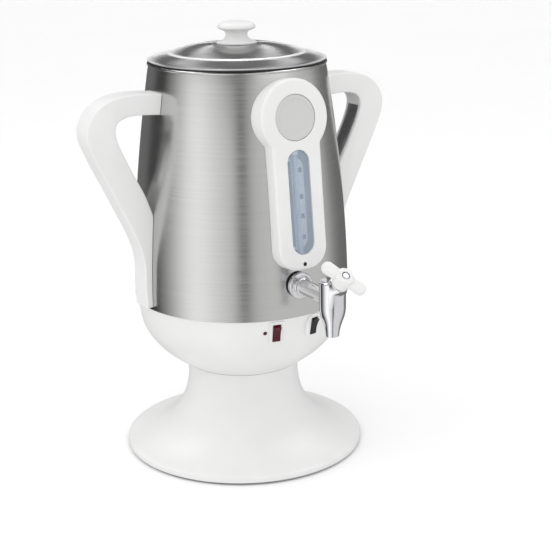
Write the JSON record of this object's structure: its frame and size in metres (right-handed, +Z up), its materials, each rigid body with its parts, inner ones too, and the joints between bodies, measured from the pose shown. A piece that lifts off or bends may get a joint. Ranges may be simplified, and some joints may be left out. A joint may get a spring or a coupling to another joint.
{
  "type": "electric samovar",
  "caption": "Electric samovar: steel vessel on a white pedestal, with a water gauge panel, drain tap, side handles, rocker switches and a lift-off lid.",
  "frame": {"origin": "centre of the flat underside of the bottom plate, on the body's axis", "axes": "+Z up along the body's axis; the tap points along -Y; the handles lie along -X and +X"},
  "size_m": [0.314, 0.3011, 0.4079],
  "materials": {
    "white_plastic": "glossy white",
    "brushed_steel": "brushed round the axis",
    "lid_steel": "finely brushed",
    "strap_steel": "satin grey",
    "tap_chrome": "polished",
    "dark_plastic": "matte dark",
    "red_plastic": "glossy red, lit from inside",
    "clear_blue": "clear with a blue tint",
    "clear_tube": "clear",
    "scale_white": "matte white",
    "brass": "plain",
    "aluminium": "plain",
    "zinc_steel": "zinc plated",
    "silicone": "matte",
    "brown_cover": "matte",
    "blue_cover": "matte",
    "green_cover": "matte",
    "cream_plastic": "matte"
  },
  "bodies": {
    "base": {"pedestal_foot": "white_plastic", "bottom_plate": "dark_plastic", "rubber_ring_foot": "silicone", "plate_screw_1": "zinc_steel", "plate_screw_2": "zinc_steel", "plate_screw_3": "zinc_steel", "base_bowl": "white_plastic", "vessel": "brushed_steel", "vessel_gasket": "silicone", "central_stud": "zinc_steel", "heat_plate": "aluminium", "heating_element": "zinc_steel", "keep_warm_thermostat": "cream_plastic", "thermal_cutout": "dark_plastic", "sensor_bridge": "zinc_steel", "bridge_nut": "zinc_steel", "stud_nut": "zinc_steel", "terminal_block": "cream_plastic", "power_switch_frame": "white_plastic", "warm_switch_frame": "white_plastic", "power_lamp": "red_plastic", "appliance_inlet": "dark_plastic", "inlet_pin_neutral": "brass", "inlet_pin_earth": "brass", "inlet_pin_line": "brass", "wire_live": "brown_cover", "wire_earth": "green_cover", "wire_neutral": "blue_cover", "gauge_housing": "white_plastic", "panel_screw": "zinc_steel", "badge_disc": "white_plastic", "gauge_window": "clear_blue", "panel_dot": "dark_plastic", "sight_tube": "clear_tube", "lower_port": "cream_plastic", "lower_port_nut": "cream_plastic", "upper_port": "cream_plastic", "upper_port_nut": "cream_plastic", "scale_plate": "scale_white", "tap_body": "tap_chrome", "tap_gasket": "silicone", "tap_lock_nut": "brass", "left_handle": "white_plastic", "left_handle_strap": "strap_steel", "right_handle": "white_plastic", "right_handle_strap": "strap_steel", "left_upper_screw": "zinc_steel", "left_lower_screw": "zinc_steel", "right_upper_screw": "zinc_steel", "right_lower_screw": "zinc_steel"},
    "lid_body": {"lid": "lid_steel", "lid_seal": "silicone", "lid_knob": "white_plastic", "knob_screw": "zinc_steel"},
    "tap_handle": {"tap_lever": "white_plastic", "tap_plug": "brass", "lever_screw": "zinc_steel"},
    "power_switch": {"power_rocker": "red_plastic"},
    "warm_switch": {"warm_rocker": "dark_plastic"}
  },
  "joints": [
    {"name": "lid_lift", "type": "slide", "parent": "base", "child": "lid_body", "axis": [0, 0, 1], "range_m": [0, 0.06]},
    {"name": "tap_turn", "type": "hinge", "parent": "base", "child": "tap_handle", "pos_m": [0, -0.15519, 0.1875], "axis": [0, -0.7071, 0.7071], "range_deg": [-45, 45]},
    {"name": "power_rocker_tip", "type": "hinge", "parent": "base", "child": "power_switch", "pos_m": [-0.02061, -0.09533, 0.13819], "axis": [0.9774, -0.2113, 0], "range_deg": [-16, 0]},
    {"name": "warm_rocker_tip", "type": "hinge", "parent": "base", "child": "warm_switch", "pos_m": [0.01794, -0.09586, 0.13819], "axis": [0.9829, 0.184, 0], "range_deg": [-16, 0]}
  ]
}
